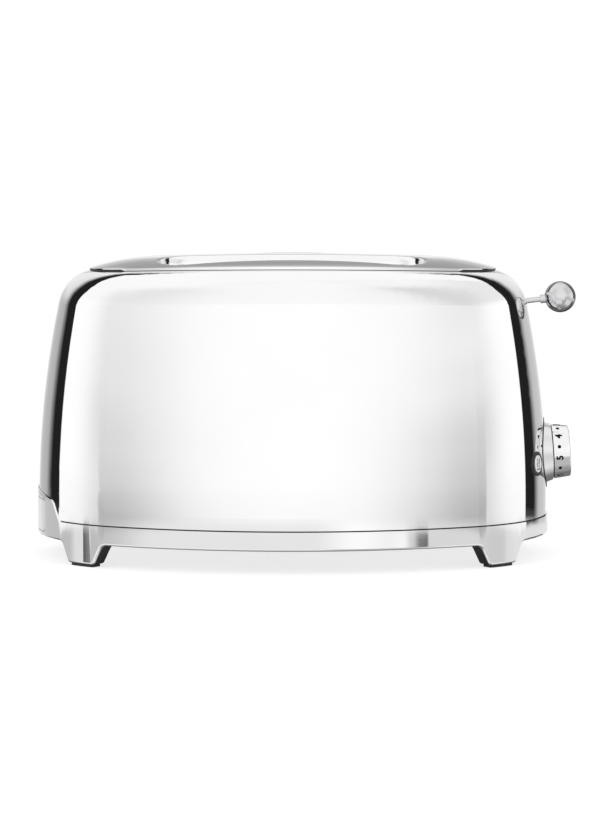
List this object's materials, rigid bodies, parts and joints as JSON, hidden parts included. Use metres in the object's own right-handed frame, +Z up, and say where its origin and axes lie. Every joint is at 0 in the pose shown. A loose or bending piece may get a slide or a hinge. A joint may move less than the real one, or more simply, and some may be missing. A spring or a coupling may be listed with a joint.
{
  "type": "two-slice toaster",
  "caption": "Rounded retro slot toaster with a side lever that lowers the bread and closes wire guides on it, a turning browning dial, push buttons and a crumb tray.",
  "frame": {"origin": "centre of the overall box in plan, at the level of the soles", "axes": "+X towards the end with the lever and the dial, +Y towards the back, +Z up"},
  "size_m": [0.3294, 0.1964, 0.1839],
  "materials": {
    "chrome_housing": "polished plate, mirror bright",
    "chrome_insert": "polished plate, slightly softer than the shell",
    "chrome_plinth": "polished plate on a casting",
    "chrome_lever": "polished plate, mirror bright",
    "satin_skirt": "fine satin, turned",
    "dial_metal": "bright, finely turned",
    "black_plastic": "moulded, matt",
    "sole_rubber": "moulded, matt",
    "zinc_steel": "zinc plated sheet",
    "screw_steel": "zinc plated",
    "bright_shield": "bright rolled sheet, heat tinted",
    "rod_steel": "ground bar",
    "tray_aluminium": "rolled sheet",
    "mica_board": "pressed mica, faintly mottled",
    "nichrome": "oxidised ribbon",
    "guide_wire": "plated wire and strip",
    "white_plastic": "moulded, semi-gloss",
    "coil_copper": "enamelled copper winding",
    "circuit_board": "glass-fibre board",
    "spring_steel": "oiled spring wire",
    "shaft_nylon": "moulded nylon"
  },
  "bodies": {
    "housing": {"outer_shell": "chrome_housing", "top_insert": "chrome_insert", "base_plinth": "chrome_plinth", "shell_seal": "sole_rubber", "foot_blocks": "black_plastic", "foot_soles": "sole_rubber", "base_plate": "zinc_steel", "base_screws": "screw_steel", "cord_gland": "black_plastic", "tray_runners": "zinc_steel", "chassis_plate_left": "zinc_steel", "chassis_plate_right": "zinc_steel", "tie_bars": "zinc_steel", "heat_shield_front": "bright_shield", "heat_shield_rear": "bright_shield", "heater_board_front": "mica_board", "heater_board_centre": "mica_board", "heater_board_rear": "mica_board", "heating_ribbons": "nichrome", "guide_rod": "rod_steel", "rod_bracket": "zinc_steel", "magnet_frame": "zinc_steel", "magnet_coil": "coil_copper", "lever_slot_liner": "black_plastic", "control_board": "circuit_board", "board_carrier": "black_plastic", "browning_selector": "black_plastic", "dial_seat": "black_plastic", "button_bezel_front": "black_plastic", "button_bezel_rear": "black_plastic"},
    "carriage": {"carriage_bracket": "zinc_steel", "bread_lifter_front": "guide_wire", "bread_lifter_rear": "guide_wire", "armature_plate": "zinc_steel", "lever_stem": "chrome_lever", "lever_ball": "chrome_lever", "return_spring": "spring_steel"},
    "guide_front_outer": {"bread_guide_front_outer": "guide_wire"},
    "guide_front_inner": {"bread_guide_front_inner": "guide_wire"},
    "guide_rear_inner": {"bread_guide_rear_inner": "guide_wire"},
    "guide_rear_outer": {"bread_guide_rear_outer": "guide_wire"},
    "dial": {"dial_drum": "dial_metal", "dial_skirt": "satin_skirt", "dial_shaft": "shaft_nylon"},
    "stop_button": {"stop_button": "dial_metal"},
    "function_button_front": {"function_button_front": "white_plastic"},
    "function_button_rear": {"function_button_rear": "white_plastic"},
    "crumb_tray": {"crumb_tray": "tray_aluminium", "tray_front": "chrome_plinth"}
  },
  "joints": [
    {"name": "lever_slide", "type": "slide", "parent": "housing", "child": "carriage", "axis": [0, 0, -1], "range_m": [0, 0.06], "stiffness_N_per_m": 80, "springref_m": -0.06, "deforming": ["return_spring"]},
    {"name": "guide_front_outer_slide", "type": "slide", "parent": "housing", "child": "guide_front_outer", "axis": [0, 1, 0], "range_m": [0, 0.0055]},
    {"name": "guide_front_inner_slide", "type": "slide", "parent": "housing", "child": "guide_front_inner", "axis": [0, -1, 0], "range_m": [0, 0.0055]},
    {"name": "guide_rear_inner_slide", "type": "slide", "parent": "housing", "child": "guide_rear_inner", "axis": [0, 1, 0], "range_m": [0, 0.0055]},
    {"name": "guide_rear_outer_slide", "type": "slide", "parent": "housing", "child": "guide_rear_outer", "axis": [0, -1, 0], "range_m": [0, 0.0055]},
    {"name": "dial_turn", "type": "hinge", "parent": "housing", "child": "dial", "pos_m": [0.14682, 0, 0.0622], "axis": [0.9981, 0, 0.061], "range_deg": [-73, 170]},
    {"name": "stop_button_press", "type": "slide", "parent": "dial", "child": "stop_button", "axis": [-0.9981, 0, -0.061], "range_m": [0, 0.0015], "stiffness_N_per_m": 800, "springref_m": -0.001},
    {"name": "function_button_front_press", "type": "slide", "parent": "housing", "child": "function_button_front", "axis": [-0.9061, 0.4187, -0.061], "range_m": [0, 0.001], "stiffness_N_per_m": 500, "springref_m": -0.001},
    {"name": "function_button_rear_press", "type": "slide", "parent": "housing", "child": "function_button_rear", "axis": [-0.9061, -0.4187, -0.061], "range_m": [0, 0.001], "stiffness_N_per_m": 500, "springref_m": -0.001},
    {"name": "crumb_tray_slide", "type": "slide", "parent": "housing", "child": "crumb_tray", "axis": [-1, 0, 0], "range_m": [0, 0.2]}
  ],
  "couplings": [
    {"joint": "guide_front_outer_slide", "follows": "lever_slide", "ratio": 0.0916},
    {"joint": "guide_front_inner_slide", "follows": "lever_slide", "ratio": 0.0916},
    {"joint": "guide_rear_inner_slide", "follows": "lever_slide", "ratio": 0.0916},
    {"joint": "guide_rear_outer_slide", "follows": "lever_slide", "ratio": 0.0916}
  ]
}
